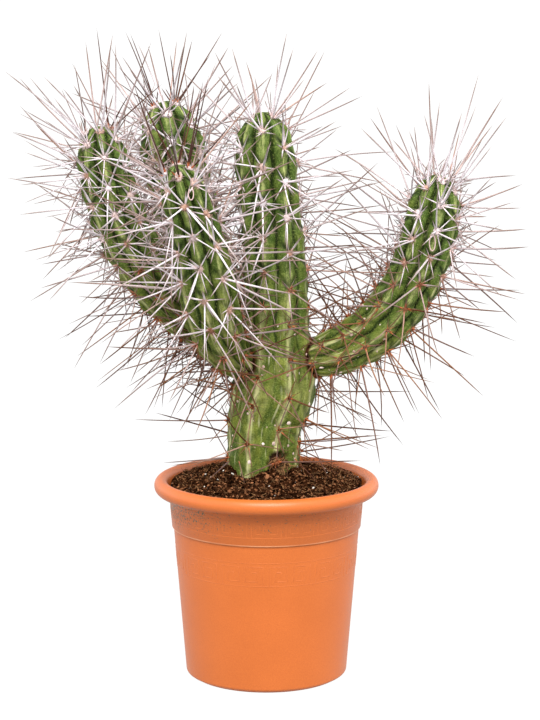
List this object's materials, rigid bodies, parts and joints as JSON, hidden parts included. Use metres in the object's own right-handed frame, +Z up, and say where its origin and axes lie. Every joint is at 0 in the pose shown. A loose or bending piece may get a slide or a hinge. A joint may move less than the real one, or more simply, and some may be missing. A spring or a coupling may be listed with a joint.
{
  "type": "potted tall cactus",
  "caption": "Tall ribbed column cactus with curved side arms and long needle spines, set in soil in a round terracotta-coloured pot with a rolled rim.",
  "frame": {"origin": "centre of the pot's flat underside, where the pot's axis meets the surface it stands on", "axes": "+Z up along the pot's axis and the trunk; the front, seen in the picture, faces -Y; +X to the right, towards the single right arm"},
  "size_m": [0.4943, 0.4156, 0.6205],
  "materials": {
    "pot_plastic": "injection-moulded terracotta-coloured plastic, satin, with a fine speckle and faint relief bands",
    "potting_soil": "loose, fibrous peat soil with pale flecks",
    "cactus_skin": "waxy green skin, duller and corky low down, with woolly areoles",
    "cactus_spines": "hard smooth needles, silvery white on young growth and red-brown on old growth"
  },
  "bodies": {
    "root": {"pot": "pot_plastic", "soil": "potting_soil", "trunk": "cactus_skin", "arm_right": "cactus_skin", "arm_front_left": "cactus_skin", "arm_back_left": "cactus_skin", "arm_far_left": "cactus_skin"}
  },
  "joints": []
}
